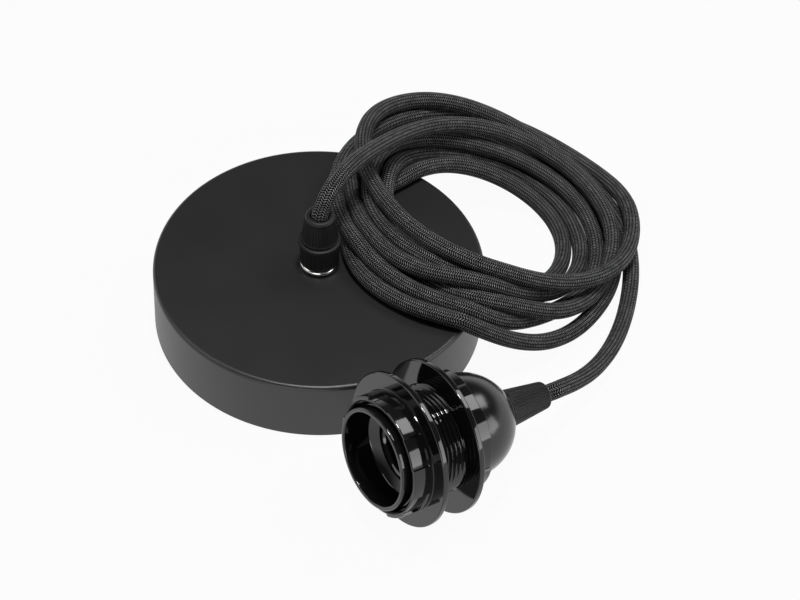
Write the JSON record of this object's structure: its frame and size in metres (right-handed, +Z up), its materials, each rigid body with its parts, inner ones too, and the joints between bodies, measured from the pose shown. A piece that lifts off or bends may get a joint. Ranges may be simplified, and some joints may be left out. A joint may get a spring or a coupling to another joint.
{
  "type": "pendant cord set",
  "caption": "Pendant cord set: a round ceiling rose with a cord grip, a coiled fabric covered cord and a threaded lamp holder with shade rings.",
  "frame": {"origin": "on the surface the set lies on, under the middle of the rose and the lamp holder taken together", "axes": "+Z up; +Y from the lamp holder towards the rose; +X to the side where the cord leaves the coil"},
  "size_m": [0.179, 0.1998, 0.0639],
  "materials": {
    "rose_black": "matt powder coat",
    "gloss_black": "high gloss",
    "matt_black": "matt",
    "chrome_ring": "polished",
    "zinc_steel": "zinc plated",
    "brass": "plain",
    "carrier_black": "satin",
    "terminal_clear": "translucent",
    "black_braid": "fine braid",
    "core_brown": "satin",
    "core_blue": "satin",
    "core_green": "satin"
  },
  "bodies": {
    "cord_set": {"rose_cup": "rose_black", "ceiling_bracket": "zinc_steel", "hollow_nipple": "zinc_steel", "bracket_nut": "zinc_steel", "rose_inner_nut": "zinc_steel", "rose_collar": "chrome_ring", "rose_grip_body": "matt_black", "rose_grip_cap": "matt_black", "rose_cord_tail": "black_braid", "terminal_block": "terminal_clear", "terminal_screw_live": "zinc_steel", "terminal_screw_neutral": "zinc_steel", "terminal_screw_spare": "zinc_steel", "earth_washer": "brass", "earth_screw": "brass", "rose_live_core": "core_brown", "rose_neutral_core": "core_blue", "earth_core": "core_green", "holder_barrel": "gloss_black", "holder_cap": "gloss_black", "contact_carrier": "carrier_black", "centre_contact": "brass", "side_contact": "brass", "holder_terminal_live": "brass", "holder_terminal_neutral": "brass", "holder_terminal_screw_live": "zinc_steel", "holder_terminal_screw_neutral": "zinc_steel", "holder_grip_body": "matt_black", "holder_grip_cap": "matt_black", "holder_cord_tail": "black_braid", "holder_live_core": "core_brown", "holder_neutral_core": "core_blue", "cord_from_rose": "black_braid", "cord_coil": "black_braid", "cord_to_holder": "black_braid"},
    "front_ring": {"shade_ring_front": "gloss_black"},
    "rear_ring": {"shade_ring_rear": "gloss_black"}
  },
  "joints": [
    {"name": "front_ring_travel", "type": "slide", "parent": "cord_set", "child": "front_ring", "axis": [-0.8033, -0.5772, 0.147], "range_m": [0, 0.006]},
    {"name": "rear_ring_travel", "type": "slide", "parent": "cord_set", "child": "rear_ring", "axis": [-0.8033, -0.5772, 0.147], "range_m": [0, 0.0115]}
  ]
}
